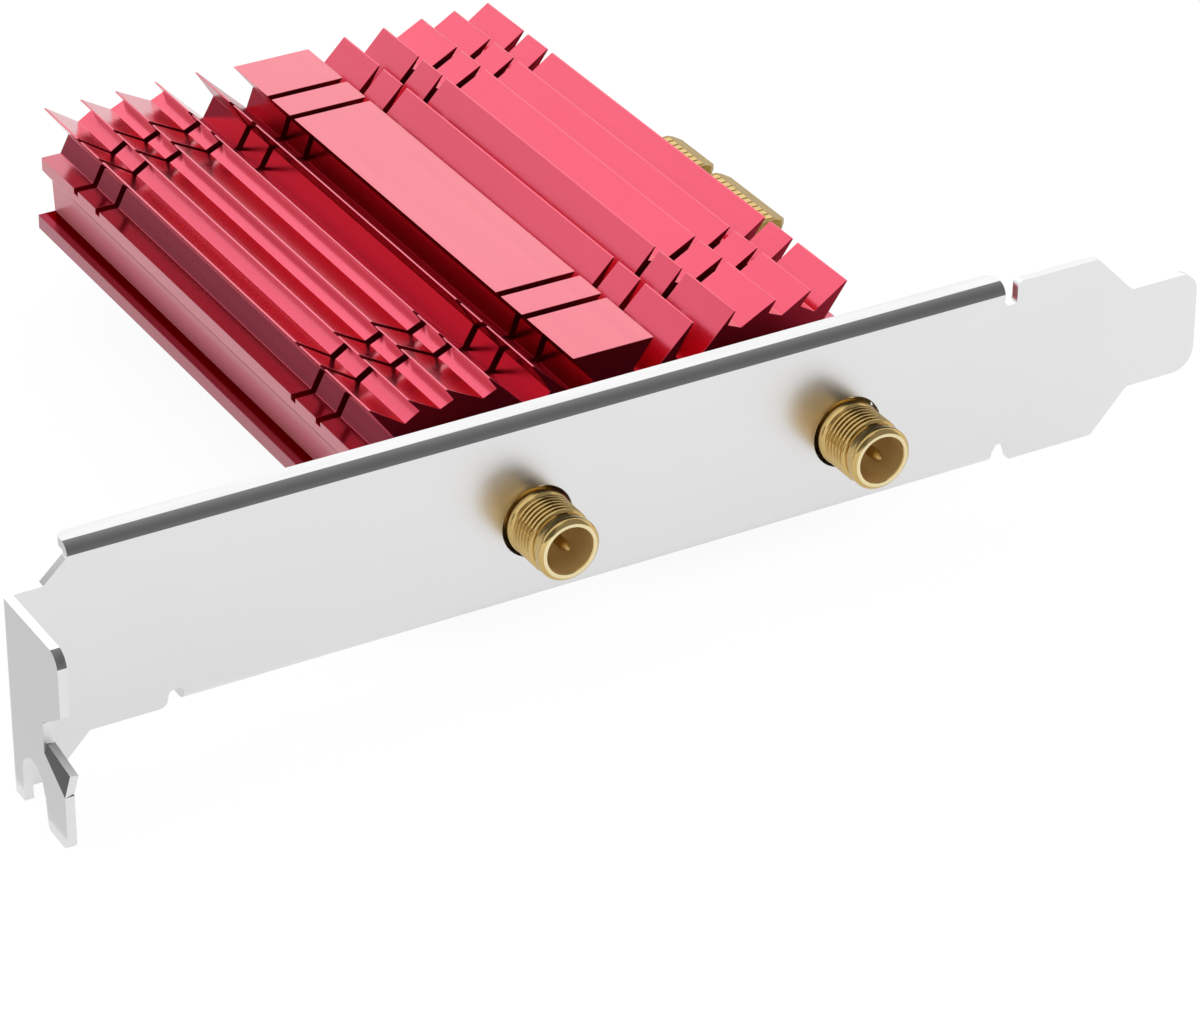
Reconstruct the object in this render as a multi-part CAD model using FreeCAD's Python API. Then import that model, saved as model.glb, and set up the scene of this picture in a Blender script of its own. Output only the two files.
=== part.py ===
import FreeCAD, Part
import math
import os

V = FreeCAD.Vector

# Work frame: X runs along the bracket from the tab's outer face, Y runs from the
# bracket's outer face into the card, Z up from the plate's lower edge.

# slot bracket
sheet = 0.86
bend_out = 1.17
bracket_long = 120.02
plate_high = 18.42
tab_top = 15.24
tab_drop = 3.75
tab_deep = 11.43
flange_deep = 2.65
flange_from = 5.9
flange_to = 98.6
foot_from = 15.9
foot_to = 97.8
foot_deep = 2.9
shoulder_top = 108.7
shoulder_low = 108.8
blade_from = 112.6
blade_low = 4.115
blade_high = 14.305
slot_wide = 4.42
slot_centre = -4.05
slot_round_z = -0.6
fold_back = -6.76
relief_wide = 1.3
relief_deep = 2.2
foot_relief = 1.9
lug_wide = 7.2
lug_rear = 10.4
lug_offset = 7.6
lug_hole_y = 6.6
lug_screw_r = 1.5

# heatsink
sink_middle = 64.2
sink_front = 11.1
sink_long = 68.4
sink_rear = sink_front + sink_long
flange_half = 25.8
cut_wide = 0.9
cut_floor = 7.0
cut_places = (sink_front + 9.0, sink_front + 13.9, sink_rear - 12.9, sink_rear - 8.0)
tip_flat = 0.2
rail_inner = 19.3
roof = 5.6
rib_half = 8.0
rib_low = 3.2
screw_x = 21.65
sink_screw_r = 1.25
screw_y = (sink_front + 5.4, sink_rear - 5.5)

# circuit board
board_thick = 1.57
board_top = 3.57
board_low = board_top - board_thick
board_left = sink_middle - flange_half + 1.4
board_right = sink_middle + flange_half + 5.45
board_front = 1.6
board_rear = sink_rear + 0.7
tongue_end = board_right + 8.25
near_group = 45.5
near_long = 11.65
key_wide = 1.9
far_long = 7.65
key_deep = 6.9
pad_pitch = 1.0
pad_wide = 0.7
pad_long = 4.6
pad_thick = 0.05
near_pads = 11
far_pads = 7

# antenna jacks
jack_x = (50.24, 82.04)
jack_z = 7.85
mouth_y = -5.87
barrel_r = 3.175
lip_r = 3.02
groove_r = 2.82
thread_from = -4.32
thread_to = -0.97
collar_r = 3.33
panel_hole_r = 3.52
bore_r = 2.27
core_r = 2.05
contact_r = 0.47
body_half = 3.5
body_from = 1.5
body_to = 8.7
post_offset = 2.54
post_half = 0.4
leg_half = 0.4
leg_y = 5.1
foot_half = 1.65

# radio shield and the parts below it
shield_half = 9.0
shield_from = sink_front + 14.9
shield_long = 26.0
shield_to = shield_from + shield_long
lid_top = 2.0
metal = 0.2
chip_size = 11.0
chip_high = 0.95
chip_y = shield_from + 11.0
power_y = shield_to + 6.0

# clearances
run_fit = 0.05
hole_fit = 0.1

# the finished part is centred on its box, with its lowest point at zero
shift = V(-bracket_long / 2, -(board_rear - (tab_deep - sheet)) / 2, tab_drop)


def box(x0, x1, y0, y1, z0, z1):
    return Part.makeBox(x1 - x0, y1 - y0, z1 - z0, V(x0, y0, z0))


def rod(r, a, b):
    axis = b.sub(a)
    return Part.makeCylinder(r, axis.Length, a, axis)


def prism(points, along):
    wire = Part.makePolygon(points + [points[0]])
    return Part.Face(wire).extrude(along)


def turned(profile, x, z):
    """Revolve a (radius, y) outline about the jack's axis."""
    pts = [V(x + r, y, z) for r, y in profile]
    face = Part.Face(Part.makePolygon(pts + [pts[0]]))
    return face.revolve(V(x, 0, z), V(0, 1, 0), 360)


def rounded_outline(points, radii):
    """A closed wire through (a, b) corners, each rounded by its own radius."""
    n = len(points)
    edges = []
    ends = []
    for i, (p, r) in enumerate(zip(points, radii)):
        u = (points[i - 1] - p).normalize()
        w = (points[(i + 1) % n] - p).normalize()
        if r <= 0:
            ends.append((p, p))
            continue
        half = u.getAngle(w) / 2
        back = r / math.tan(half)
        a = p + u * back
        b = p + w * back
        centre = p + (u + w).normalize() * (r / math.sin(half))
        middle = centre + (p - centre).normalize() * r
        edges.append(Part.Arc(a, middle, b).toShape())
        ends.append((a, b))
    for i in range(n):
        a = ends[i][1]
        b = ends[(i + 1) % n][0]
        if a.distanceToPoint(b) > 1e-6:
            edges.append(Part.makeLine(a, b))
    return Part.Wire(Part.__sortEdges__(edges))


def half_profile():
    """Right half of the extrusion, (out from the middle, up from the board)."""
    plateau = 12.4
    tip = 12.76
    f = tip_flat
    fins = [
        (4.15, plateau), (2.1, 9.7), (2.9, 7.6),
        (8.32 - f, tip), (8.32, tip), (6.45, 9.75), (7.65, 7.7),
        (12.72 - f, tip), (12.72, tip), (11.9, 11.5), (13.25, 10.9),
        (17.0 - f, tip), (17.0, tip), (16.2, 11.6), (17.55, 11.0),
        (20.76 - f, tip), (20.76, tip), (19.6, 11.4), (21.05, 10.5),
        (24.58 - f, tip), (24.58, tip), (22.15, 9.4), (23.1, 7.57),
        (25.12, 7.57), (25.12, 6.2), (24.15, 4.85), (24.0, 1.5),
        (flange_half, 1.5), (flange_half, 0.0),
    ]
    hollow = [(rail_inner, 0.0), (rail_inner, roof), (rib_half, roof), (rib_half, rib_low)]
    return fins + hollow


def finned_heatsink():
    """One extrusion: leaning fins on both sides of a flat rib, cross-sawn near its ends."""
    half = half_profile()
    outline = [V(sink_middle + x, sink_front, board_top + z) for x, z in half]
    outline += [V(sink_middle - x, sink_front, board_top + z) for x, z in reversed(half)]
    body = prism(outline, V(0, sink_long, 0))
    low = board_top + cut_floor
    left, right = sink_middle - flange_half, sink_middle + flange_half
    for y in cut_places:
        saw = box(left, right, y - cut_wide / 2, y + cut_wide / 2, low, low + cut_floor)
        body = body.cut(saw)
    for x, y in sink_screw_places():
        body = body.cut(rod(sink_screw_r, V(x, y, board_top), V(x, y, board_top + 4.4)))
    return body


def sink_screw_places():
    return [(sink_middle + s * screw_x, y) for s in (-1, 1) for y in screw_y]


def pan_head(x, y, seat, top, r):
    """Low round screw head from its seat to its far face."""
    head = rod(r, V(x, y, seat), V(x, y, top))
    rim = [e for e in head.Edges if abs(e.CenterOfMass.z - top) < 1e-3]
    return head.makeChamfer(0.45, rim)


def sink_screws():
    """Pan head screws from the solder side up into the heatsink's side rails."""
    screws = []
    for x, y in sink_screw_places():
        head = pan_head(x, y, board_low, board_low - 1.3, 2.1)
        shank = rod(sink_screw_r - run_fit, V(x, y, board_low - 0.3), V(x, y, board_top + 4.0))
        screws.append(head.fuse(shank))
    return Part.makeCompound(screws)


def lug_middles():
    return [x + lug_offset for x in jack_x]


def board_outline():
    near_to = near_group + near_long
    far_from = near_to + key_wide
    far_to = far_from + far_long
    flat = [
        (board_left, board_front, 1.0), (board_right, board_front, 1.0),
        (board_right, near_group, 0.0), (tongue_end, near_group, 0.0),
        (tongue_end, near_to, 0.0), (tongue_end - key_deep, near_to, 0.94),
        (tongue_end - key_deep, far_from, 0.94), (tongue_end, far_from, 0.0),
        (tongue_end, far_to, 0.0), (board_right, far_to, 0.8),
        (board_right, board_rear, 1.0), (board_left, board_rear, 1.0),
    ]
    pts = [V(x, y, board_low) for x, y, _ in flat]
    return rounded_outline(pts, [r for _, _, r in flat])


def circuit_board():
    """Laminate with the keyed plug-in tongue, bevelled at its lead-in edge."""
    board = Part.Face(board_outline()).extrude(V(0, 0, board_thick))
    for z, s in ((board_low, 1), (board_top, -1)):
        bevel = prism([V(tongue_end - 1.3, 0, z), V(tongue_end + 1, 0, z), V(tongue_end + 1, 0, z + s * 0.9)],
                      V(0, board_rear, 0))
        board = board.cut(bevel)
    for y, s in ((near_group, 1), (near_group + near_long, -1),
                 (near_group + near_long + key_wide, 1),
                 (near_group + near_long + key_wide + far_long, -1)):
        corner = prism([V(tongue_end, y - s * 0.5, board_low), V(tongue_end, y + s * 0.7, board_low),
                        V(tongue_end - 0.7, y, board_low), V(tongue_end - 0.7, y - s * 0.5, board_low)],
                       V(0, 0, board_thick))
        board = board.cut(corner)
    holes = [(x, y, sink_screw_r) for x, y in sink_screw_places()]
    holes += [(x, lug_hole_y, lug_screw_r) for x in lug_middles()]
    for x, y, r in holes:
        board = board.cut(rod(r + hole_fit, V(x, y, board_low - 1), V(x, y, board_top + 1)))
    for x in jack_x:
        for px, py in post_places(x):
            board = board.cut(square_pin(px, py, post_half + hole_fit, board_low - 1, board_top + 1))
        board = board.cut(square_pin(x, leg_y, leg_half + hole_fit, board_low - 1, board_top + 1))
    return board


def post_places(x):
    """The four corners where a jack's base stands in the board."""
    return [(x + sx * post_offset, leg_y + sy * post_offset) for sx in (-1, 1) for sy in (-1, 1)]


def square_pin(x, y, half, low, high):
    return box(x - half, x + half, y - half, y + half, low, high)


def edge_contacts():
    """Gold contact strips of the tongue, both faces, one solid per contact."""
    first = near_group + (near_long - (near_pads - 1) * pad_pitch) / 2
    far_from = near_group + near_long + key_wide
    second = far_from + (far_long - (far_pads - 1) * pad_pitch) / 2
    rows = [first + i * pad_pitch for i in range(near_pads)]
    rows += [second + i * pad_pitch for i in range(far_pads)]
    pads = []
    for y in rows:
        x1 = tongue_end - 1.4
        for z in (board_top, board_low - pad_thick):
            pads.append(box(x1 - pad_long, x1, y - pad_wide / 2, y + pad_wide / 2, z, z + pad_thick))
    return Part.makeCompound(pads)


def bent_edge(x0, x1, z, up, deep, round_r):
    """A strip that carries the plate round a bend and back from its edge at height z."""
    r = bend_out
    inner = r - sheet
    c = V(x0, r, z - up * r)
    s = math.sqrt(0.5)
    outer_arc = Part.Arc(V(x0, 0, c.z), c + V(0, -s * r, up * s * r), V(x0, r, z)).toShape()
    inner_arc = Part.Arc(V(x0, r, z - up * sheet), c + V(0, -s * inner, up * s * inner),
                         V(x0, sheet, c.z)).toShape()
    lines = [Part.makeLine(V(x0, r, z), V(x0, deep, z)),
             Part.makeLine(V(x0, deep, z), V(x0, deep, z - up * sheet)),
             Part.makeLine(V(x0, deep, z - up * sheet), V(x0, r, z - up * sheet)),
             Part.makeLine(V(x0, sheet, c.z), V(x0, 0, c.z))]
    wire = Part.Wire(Part.__sortEdges__([outer_arc, inner_arc] + lines))
    strip = Part.Face(wire).extrude(V(x1 - x0, 0, 0))
    corners = [e for e in strip.Edges
               if abs(e.CenterOfMass.y - deep) < 1e-3 and abs(e.Length - sheet) < 1e-3]
    return strip.makeFillet(round_r, corners)


def plate_blank():
    """Flat face of the bracket with its shoulders, narrow blade and relief notches."""
    top = plate_high - bend_out
    low = bend_out
    flat = [
        (bend_out, tab_top, 0), (3.6, tab_top, 0), (5.75, top, 0), (flange_to, top, 0),
        (flange_to, plate_high - relief_deep, 0.5), (flange_to + relief_wide, plate_high - relief_deep, 0.5),
        (flange_to + relief_wide, plate_high, 0.6), (shoulder_top, plate_high, 0.6),
        (blade_from, blade_high, 0.6), (bracket_long, blade_high, 2.05),
        (bracket_long, blade_low, 2.3), (blade_from, blade_low, 0.6),
        (shoulder_low, 0, 0.6), (foot_to + 1.95, 0, 0), (foot_to + 1.4, foot_relief, 0),
        (foot_to + 0.5, foot_relief, 0), (foot_to, low, 0), (foot_from, low, 0),
        (foot_from - 0.3, foot_relief - 0.35, 0), (foot_from - 1.4, foot_relief - 0.35, 0.5),
        (foot_from - 1.7, 0, 0.8), (7.05, 0, 0),
        (3.4, -tab_drop, 0), (bend_out, -tab_drop, 0),
    ]
    pts = [V(x, 0, z) for x, z, _ in flat]
    return Part.Face(rounded_outline(pts, [r for _, _, r in flat])).extrude(V(0, sheet, 0))


def mounting_tab():
    """Screw tab bent toward the outside, with the open slot and the folded-in front corner."""
    front = -(tab_deep - sheet)
    inner = bend_out - sheet
    left_wall = slot_centre + slot_wide / 2
    right_wall = slot_centre - slot_wide / 2
    flat = [
        (-inner, tab_top, 0), (front, tab_top, 1.5), (front, 9.25, 0.3), (fold_back, 6.85, 0.3),
        (fold_back, 3.85, 0), (front, 1.55, 0), (front, -tab_drop, 0.9), (-6.75, -tab_drop, 0.6),
        (-6.45, -0.6, 0), (right_wall, slot_round_z, 0), (right_wall, 5.5, 0), (left_wall, 5.5, 0),
        (left_wall, -tab_drop, 0), (-inner, -tab_drop, 0),
    ]
    outline = [p for p in flat if p[1] != 5.5]
    pts = [V(0, y, z) for y, z, _ in outline]
    sheet_part = Part.Face(rounded_outline(pts, [r for _, _, r in outline])).extrude(V(sheet, 0, 0))
    slot = rod(slot_wide / 2, V(-1, slot_centre, slot_round_z), V(2, slot_centre, slot_round_z))
    slot = slot.fuse(box(-1, 2, right_wall, left_wall, -tab_drop - 1, slot_round_z))
    return sheet_part.cut(slot).fuse(corner_fold(front))


def corner_fold(front):
    """The small corner lanced from the tab and pushed inward along a slanting fold."""
    a = V(0, fold_back, 3.85)
    b = V(0, front, 1.55)
    lift = V(0.56, 0, 1.97)
    inward = lift.cross(b - a).normalize()
    if inward.x < 0:
        inward = inward * -1
    return prism([a, b, b + lift, a + lift * 0.45], inward * sheet)


def tab_bend():
    """Quarter turn that joins the plate to the tab."""
    inner = bend_out - sheet
    c = V(bend_out, -inner, -tab_drop)
    s = math.sqrt(0.5)
    z = -tab_drop
    edges = [
        Part.Arc(V(bend_out, sheet, z), c + V(-s * bend_out, s * bend_out, 0), V(0, -inner, z)).toShape(),
        Part.makeLine(V(0, -inner, z), V(sheet, -inner, z)),
        Part.Arc(V(sheet, -inner, z), c + V(-s * inner, s * inner, 0), V(bend_out, 0, z)).toShape(),
        Part.makeLine(V(bend_out, 0, z), V(bend_out, sheet, z)),
    ]
    wire = Part.Wire(Part.__sortEdges__(edges))
    return Part.Face(wire).extrude(V(0, 0, tab_top + tab_drop))


def board_lug(x):
    """Tongue of the lower edge, stepped up to lie under the board, with its tapped hole."""
    rise = board_low - sheet
    outline = [
        (foot_deep - 0.3, 0.0), (foot_deep + 0.2, 0.0), (foot_deep + 1.2, rise), (lug_rear, rise),
        (lug_rear, board_low), (foot_deep + 1.0, board_low), (foot_deep - 0.1, sheet),
        (foot_deep - 0.3, sheet),
    ]
    lug = prism([V(x - lug_wide / 2, y, z) for y, z in outline], V(lug_wide, 0, 0))
    corners = [e for e in lug.Edges
               if abs(e.CenterOfMass.y - lug_rear) < 1e-3 and abs(e.Length - sheet) < 1e-3]
    return lug.makeFillet(1.2, corners)


def slot_bracket():
    """Bent steel bracket: face, upper and lower bent-back edges, lugs and screw tab."""
    body = plate_blank()
    body = body.fuse(tab_bend())
    body = body.fuse(mounting_tab())
    body = body.fuse(bent_edge(flange_from, flange_to, plate_high, 1, flange_deep, 1.0))
    body = body.fuse(bent_edge(foot_from, foot_to, 0, -1, foot_deep, 1.0))
    for x in lug_middles():
        body = body.fuse(board_lug(x))
    for x in jack_x:
        body = body.cut(rod(panel_hole_r, V(x, -1, jack_z), V(x, 2, jack_z)))
    for x in lug_middles():
        body = body.cut(rod(lug_screw_r, V(x, lug_hole_y, -1), V(x, lug_hole_y, board_low + 0.1)))
    return body.removeSplitter()


def bracket_screws():
    """Two screws through the board into the tapped lugs."""
    screws = []
    y = lug_hole_y
    for x in lug_middles():
        head = pan_head(x, y, board_top, board_top + 1.7, 2.6)
        shank = rod(lug_screw_r - run_fit, V(x, y, board_low - sheet - 0.6), V(x, y, board_top + 0.3))
        screws.append(head.fuse(shank))
    return Part.makeCompound(screws)


def jack_shell(x):
    """Turned barrel with a square base that stands on the board on four posts."""
    z = jack_z
    barrel = turned([
        (bore_r, mouth_y), (lip_r - 0.38, mouth_y), (lip_r, mouth_y + 0.47),
        (lip_r, thread_from - 0.6), (groove_r, thread_from - 0.5), (groove_r, thread_from - 0.15),
        (barrel_r, thread_from), (barrel_r, thread_to), (groove_r, thread_to + 0.1),
        (collar_r, thread_to + 0.45), (collar_r, body_from + 0.2),
        (core_r, body_from + 0.2), (core_r, -0.6), (bore_r, -0.6),
    ], x, z)
    base = box(x - body_half, x + body_half, body_from, body_to, board_top, z + body_half)
    tall = [e for e in base.Edges if abs(e.CenterOfMass.z - z - body_half) < 1e-3]
    base = base.makeChamfer(0.5, tall)
    base = base.cut(rod(core_r, V(x, body_from - 1, z), V(x, 7.3, z)))
    base = base.cut(square_pin(x, leg_y, foot_half, board_top - 1, z))
    shell = barrel.fuse(base)
    for px, py in post_places(x):
        shell = shell.fuse(square_pin(px, py, post_half, board_low - 0.8, board_top + 0.5))
    return shell.removeSplitter()


def jack_insulator(x):
    """White plastic core: a round plug in the barrel and a square foot round the leg."""
    z = jack_z
    r = core_r - run_fit
    core = rod(r, V(x, -0.6, z), V(x, 7.2, z))
    core = core.fuse(square_pin(x, leg_y, foot_half - run_fit, board_top, z))
    core = core.cut(rod(contact_r + run_fit, V(x, -1, z), V(x, leg_y + contact_r + run_fit, z)))
    return core.cut(square_pin(x, leg_y, leg_half + run_fit, board_top - 1, z))


def jack_contact(x):
    """Pointed centre pin with the leg that drops through the board."""
    z = jack_z
    tip = mouth_y + 0.35
    pin = turned([(0, tip), (0.12, tip), (contact_r, tip + 0.7), (contact_r, leg_y + contact_r),
                  (0, leg_y + contact_r)], x, z)
    return pin.fuse(square_pin(x, leg_y, leg_half, board_low - 0.8, z))


def shield_frame():
    """Soldered fence round the radio parts, with inward rails at its top."""
    z = board_top
    high = lid_top - metal
    x0, x1 = sink_middle - shield_half, sink_middle + shield_half
    outer = box(x0, x1, shield_from, shield_to, z, z + high)
    inner = box(x0 + metal, x1 - metal, shield_from + metal, shield_to - metal, z, z + high - metal)
    window = box(x0 + 1.0, x1 - 1.0, shield_from + 1.0, shield_to - 1.0, z, z + high + 1)
    return outer.cut(inner).cut(window)


def shield_lid():
    """Drawn cover that clips over the fence."""
    z = board_top
    x0, x1 = sink_middle - shield_half, sink_middle + shield_half
    gap = run_fit
    wall = metal + gap
    outer = box(x0 - wall, x1 + wall, shield_from - wall, shield_to + wall, z + 0.7, z + lid_top)
    rounds = [e for e in outer.Edges if abs(e.Length - (lid_top - 0.7)) < 1e-6]
    outer = outer.makeFillet(0.24, rounds)
    inner = box(x0 - gap, x1 + gap, shield_from - gap, shield_to + gap, z, z + lid_top - metal)
    return outer.cut(inner)


def top_chamfered(body, top, size):
    """Chamfers the edges of a body's top face."""
    return body.makeChamfer(size, [e for e in body.Edges if abs(e.CenterOfMass.z - top) < 1e-6])


def radio_chip():
    h = chip_size / 2
    top = board_top + chip_high
    return top_chamfered(box(sink_middle - h, sink_middle + h, chip_y - h, chip_y + h, board_top, top), top, 0.12)


def inner_pad():
    h = chip_size / 2 - 0.5
    return box(sink_middle - h, sink_middle + h, chip_y - h, chip_y + h,
               board_top + chip_high, board_top + lid_top - metal)


def outer_pad():
    return box(sink_middle - rib_half + 0.5, sink_middle + rib_half - 0.5, shield_from + 2, shield_to - 2,
               board_top + lid_top, board_top + rib_low)


def chips(places, size, high, chamfer):
    """Equal small packages standing on the board."""
    parts = []
    long, wide = size[0] / 2, size[1] / 2
    top = board_top + high
    for x, y in places:
        parts.append(top_chamfered(box(x - long, x + long, y - wide, y + wide, board_top, top), top, chamfer))
    return Part.makeCompound(parts)


def front_end_modules():
    y = shield_from + 3.0
    return chips([(sink_middle - 4.6, y), (sink_middle + 4.6, y)], (3.0, 3.0), 0.8, 0.1)


def crystal():
    return chips([(sink_middle + 3.6, shield_to - 4.8)], (3.2, 2.5), 0.8, 0.15)


def flash_chip():
    """Eight-lead package: moulded body and gull-wing leads."""
    x = sink_middle - 4.0
    y = power_y
    body = box(x - 2.45, x + 2.45, y - 1.95, y + 1.95, board_top + 0.15, board_top + 1.6)
    body = top_chamfered(body, board_top + 1.6, 0.25)
    for i in range(4):
        lx = x - 1.905 + i * 1.27
        for s in (-1, 1):
            lead = [(1.8, 0.75), (2.3, 0.75), (2.5, 0.2), (3.0, 0.2), (3.0, 0.0),
                    (2.35, 0.0), (2.15, 0.55), (1.8, 0.55)]
            pts = [V(lx - 0.2, y + s * a, board_top + b) for a, b in lead]
            body = body.fuse(prism(pts, V(0.4, 0, 0)))
    return body


def voltage_regulator():
    return chips([(sink_middle + 4.2, power_y)], (4.0, 4.0), 0.9, 0.12)


def power_inductors():
    coils = []
    for y in (power_y + 5.5, power_y + 11.0):
        x = sink_middle + 4.2
        coil = box(x - 2.1, x + 2.1, y - 2.1, y + 2.1, board_top, board_top + 1.9)
        coil = coil.makeChamfer(0.5, [e for e in coil.Edges if abs(e.Length - 1.9) < 1e-6])
        coils.append(top_chamfered(coil, board_top + 1.9, 0.2))
    return Part.makeCompound(coils)


def capacitors():
    """Small chip capacitors beside the regulator and on the signal pairs of the tongue."""
    across = [(sink_middle - 5.5 + i * 2.6, power_y + 8.0 + j * 2.6) for i in range(3) for j in range(2)]
    beside = sink_middle + flange_half + 2.4
    signal = [(beside, near_group + near_long + key_wide + 1.3 + i * 1.8) for i in range(4)]
    small = chips(across, (1.0, 1.6), 0.8, 0.08)
    return Part.makeCompound(small.Solids + chips(signal, (1.6, 0.8), 0.8, 0.08).Solids)


def parts():
    found = {
        "bracket": slot_bracket(),
        "circuit_board": circuit_board(),
        "edge_contacts": edge_contacts(),
        "heatsink": finned_heatsink(),
        "heatsink_screws": sink_screws(),
        "bracket_screws": bracket_screws(),
        "shield_frame": shield_frame(),
        "shield_lid": shield_lid(),
        "radio_chip": radio_chip(),
        "inner_thermal_pad": inner_pad(),
        "outer_thermal_pad": outer_pad(),
        "front_end_modules": front_end_modules(),
        "crystal": crystal(),
        "flash_chip": flash_chip(),
        "voltage_regulator": voltage_regulator(),
        "power_inductors": power_inductors(),
        "capacitors": capacitors(),
    }
    for side, x in zip(("left", "right"), jack_x):
        found["jack_shell_" + side] = jack_shell(x)
        found["jack_insulator_" + side] = jack_insulator(x)
        found["jack_contact_" + side] = jack_contact(x)
    return found


os.makedirs("parts", exist_ok=True)
for name, shape in parts().items():
    shape.translate(shift)
    shape.exportStep("parts/" + name + ".step")
    b = shape.BoundBox
    print("%-22s solids %d valid %s x %.2f %.2f y %.2f %.2f z %.2f %.2f" % (
        name, len(shape.Solids), shape.isValid(), b.XMin, b.XMax, b.YMin, b.YMax, b.ZMin, b.ZMax))
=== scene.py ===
# %% [markdown]
# A short expansion card with a red finned heatsink, a bent steel slot bracket
# and two gold antenna jacks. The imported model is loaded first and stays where
# it is. Everything made here is laid over it, in metres, in the same frame.

# %% Load the frame
import math
import bmesh
import bpy
from mathutils import Matrix, Vector


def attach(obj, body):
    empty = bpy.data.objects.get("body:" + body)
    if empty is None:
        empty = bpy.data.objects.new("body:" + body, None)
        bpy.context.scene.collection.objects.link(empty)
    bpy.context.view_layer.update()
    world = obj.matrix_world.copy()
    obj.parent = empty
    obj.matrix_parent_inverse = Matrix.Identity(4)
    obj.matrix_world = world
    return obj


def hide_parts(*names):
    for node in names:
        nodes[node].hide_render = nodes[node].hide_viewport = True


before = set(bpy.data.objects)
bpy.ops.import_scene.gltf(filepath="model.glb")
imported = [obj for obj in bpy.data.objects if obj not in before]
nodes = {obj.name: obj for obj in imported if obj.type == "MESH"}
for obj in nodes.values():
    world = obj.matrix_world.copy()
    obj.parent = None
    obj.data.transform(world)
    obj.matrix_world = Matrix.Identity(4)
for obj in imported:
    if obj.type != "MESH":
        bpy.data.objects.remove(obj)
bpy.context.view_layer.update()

# %% [markdown]
# The card was measured from its own corner: X from the screw tab's outer face,
# Y from the bracket's outer face, Z from the bracket's lower edge, all in
# millimetres. One helper turns such a place into the frame's metres, so the
# numbers below can be read with a ruler in mind.

# %% A ruler for the card
MM = 0.001
CORNER = Vector((-60.01, -34.815, 3.75))
JACK_X = {"left": 50.24, "right": 82.04}
JACK_Z = 7.85
SINK_X = 64.2
BOARD_Z = 2.0
BOARD_THICK = 1.57


def at(x, y, z):
    """A place on the card, from millimetres off its own corner."""
    return (Vector((x, y, z)) + CORNER) * MM


JACKS = {side: at(x, 0, JACK_Z) for side, x in JACK_X.items()}
SINK_MIDDLE = at(SINK_X, 0, 0).x
CARD_LOW = at(0, 0, 0).z
BOARD_LOW = at(0, 0, BOARD_Z).z
BOARD_TOP = at(0, 0, BOARD_Z + BOARD_THICK).z
print("jack axes", [tuple(round(v, 5) for v in p) for p in JACKS.values()])

# %% [markdown]
# The camera stands in front of the bracket, a little to the left and well above
# it, far enough away that parallel edges stay almost parallel. Its place and its
# long lens were worked out from the bracket's known length and height.

# %% Camera
EYE = at(-135.74, -336.66, 236.89)
RIGHT = Vector((0.86881, -0.49515, 0.00216))
DOWN = Vector((-0.24784, -0.43864, -0.86381))
AHEAD = Vector((0.42866, 0.74995, -0.50381))

camera_data = bpy.data.cameras.new("bench_camera")
camera_data.sensor_width = 36.0
camera_data.lens = 154.13
camera_data.shift_x = -0.00176
camera_data.shift_y = -0.02818
camera_data.clip_start = 0.01
camera_data.clip_end = 50.0
bench_camera = bpy.data.objects.new("bench_camera", camera_data)
bpy.context.collection.objects.link(bench_camera)
aimed = Matrix((RIGHT, -DOWN, -AHEAD)).transposed().to_4x4()
bench_camera.matrix_world = Matrix.Translation(EYE) @ aimed
bpy.context.scene.camera = bench_camera
print("camera at", tuple(round(v, 4) for v in bench_camera.location))

# %% [markdown]
# Every finish of the card is put together from the same small kit: a shader, a
# noise that can be drawn out along one way, and a bump. Values that are the same
# all over are set on the shader itself. The studio's grey cards start from it too.

# %% A kit for finishes
def new_finish(name, **values):
    """A material with its shader's even values set."""
    made = bpy.data.materials.new(name)
    made.use_nodes = True
    shader = made.node_tree.nodes["Principled BSDF"]
    for socket, value in values.items():
        shader.inputs[socket.replace("_", " ")].default_value = value
    return made, made.node_tree, shader


def grain(tree, scale, detail=3.0):
    """Noise on the card's own coordinates, drawn out by a scale for each way."""
    place = tree.nodes.new("ShaderNodeTexCoord")
    draw_out = tree.nodes.new("ShaderNodeMapping")
    draw_out.inputs["Scale"].default_value = scale
    noise = tree.nodes.new("ShaderNodeTexNoise")
    noise.inputs["Scale"].default_value = 1.0
    noise.inputs["Detail"].default_value = detail
    noise.inputs["Roughness"].default_value = 0.55
    tree.links.new(place.outputs["Object"], draw_out.inputs["Vector"])
    tree.links.new(draw_out.outputs["Vector"], noise.inputs["Vector"])
    return noise.outputs["Fac"]


def spread(tree, value, low, high, low_in=0.3, high_in=0.7):
    """A value stretched to run from low to high."""
    fit = tree.nodes.new("ShaderNodeMapRange")
    fit.inputs["From Min"].default_value = low_in
    fit.inputs["From Max"].default_value = high_in
    fit.inputs["To Min"].default_value = low
    fit.inputs["To Max"].default_value = high
    tree.links.new(value, fit.inputs["Value"])
    return fit.outputs["Result"]


def tint(tree, value, dark, light, low_in=0.3, high_in=0.7):
    """A value turned into a colour between dark and light."""
    ramp = tree.nodes.new("ShaderNodeValToRGB")
    ramp.color_ramp.elements[0].position = low_in
    ramp.color_ramp.elements[0].color = (*dark, 1)
    ramp.color_ramp.elements[1].position = high_in
    ramp.color_ramp.elements[1].color = (*light, 1)
    tree.links.new(value, ramp.inputs["Fac"])
    return ramp.outputs["Color"]


def raise_grain(tree, shader, value, height):
    """Turns a value into relief of that height in metres."""
    bump = tree.nodes.new("ShaderNodeBump")
    bump.inputs["Strength"].default_value = 1.0
    bump.inputs["Distance"].default_value = height
    tree.links.new(value, bump.inputs["Height"])
    tree.links.new(bump.outputs["Normal"], shader.inputs["Normal"])


def place_along(tree, axis):
    """Where a point lies along one axis of the card, in metres."""
    place = tree.nodes.new("ShaderNodeTexCoord")
    split = tree.nodes.new("ShaderNodeSeparateXYZ")
    tree.links.new(place.outputs["Object"], split.inputs[0])
    return split.outputs[axis]


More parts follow.
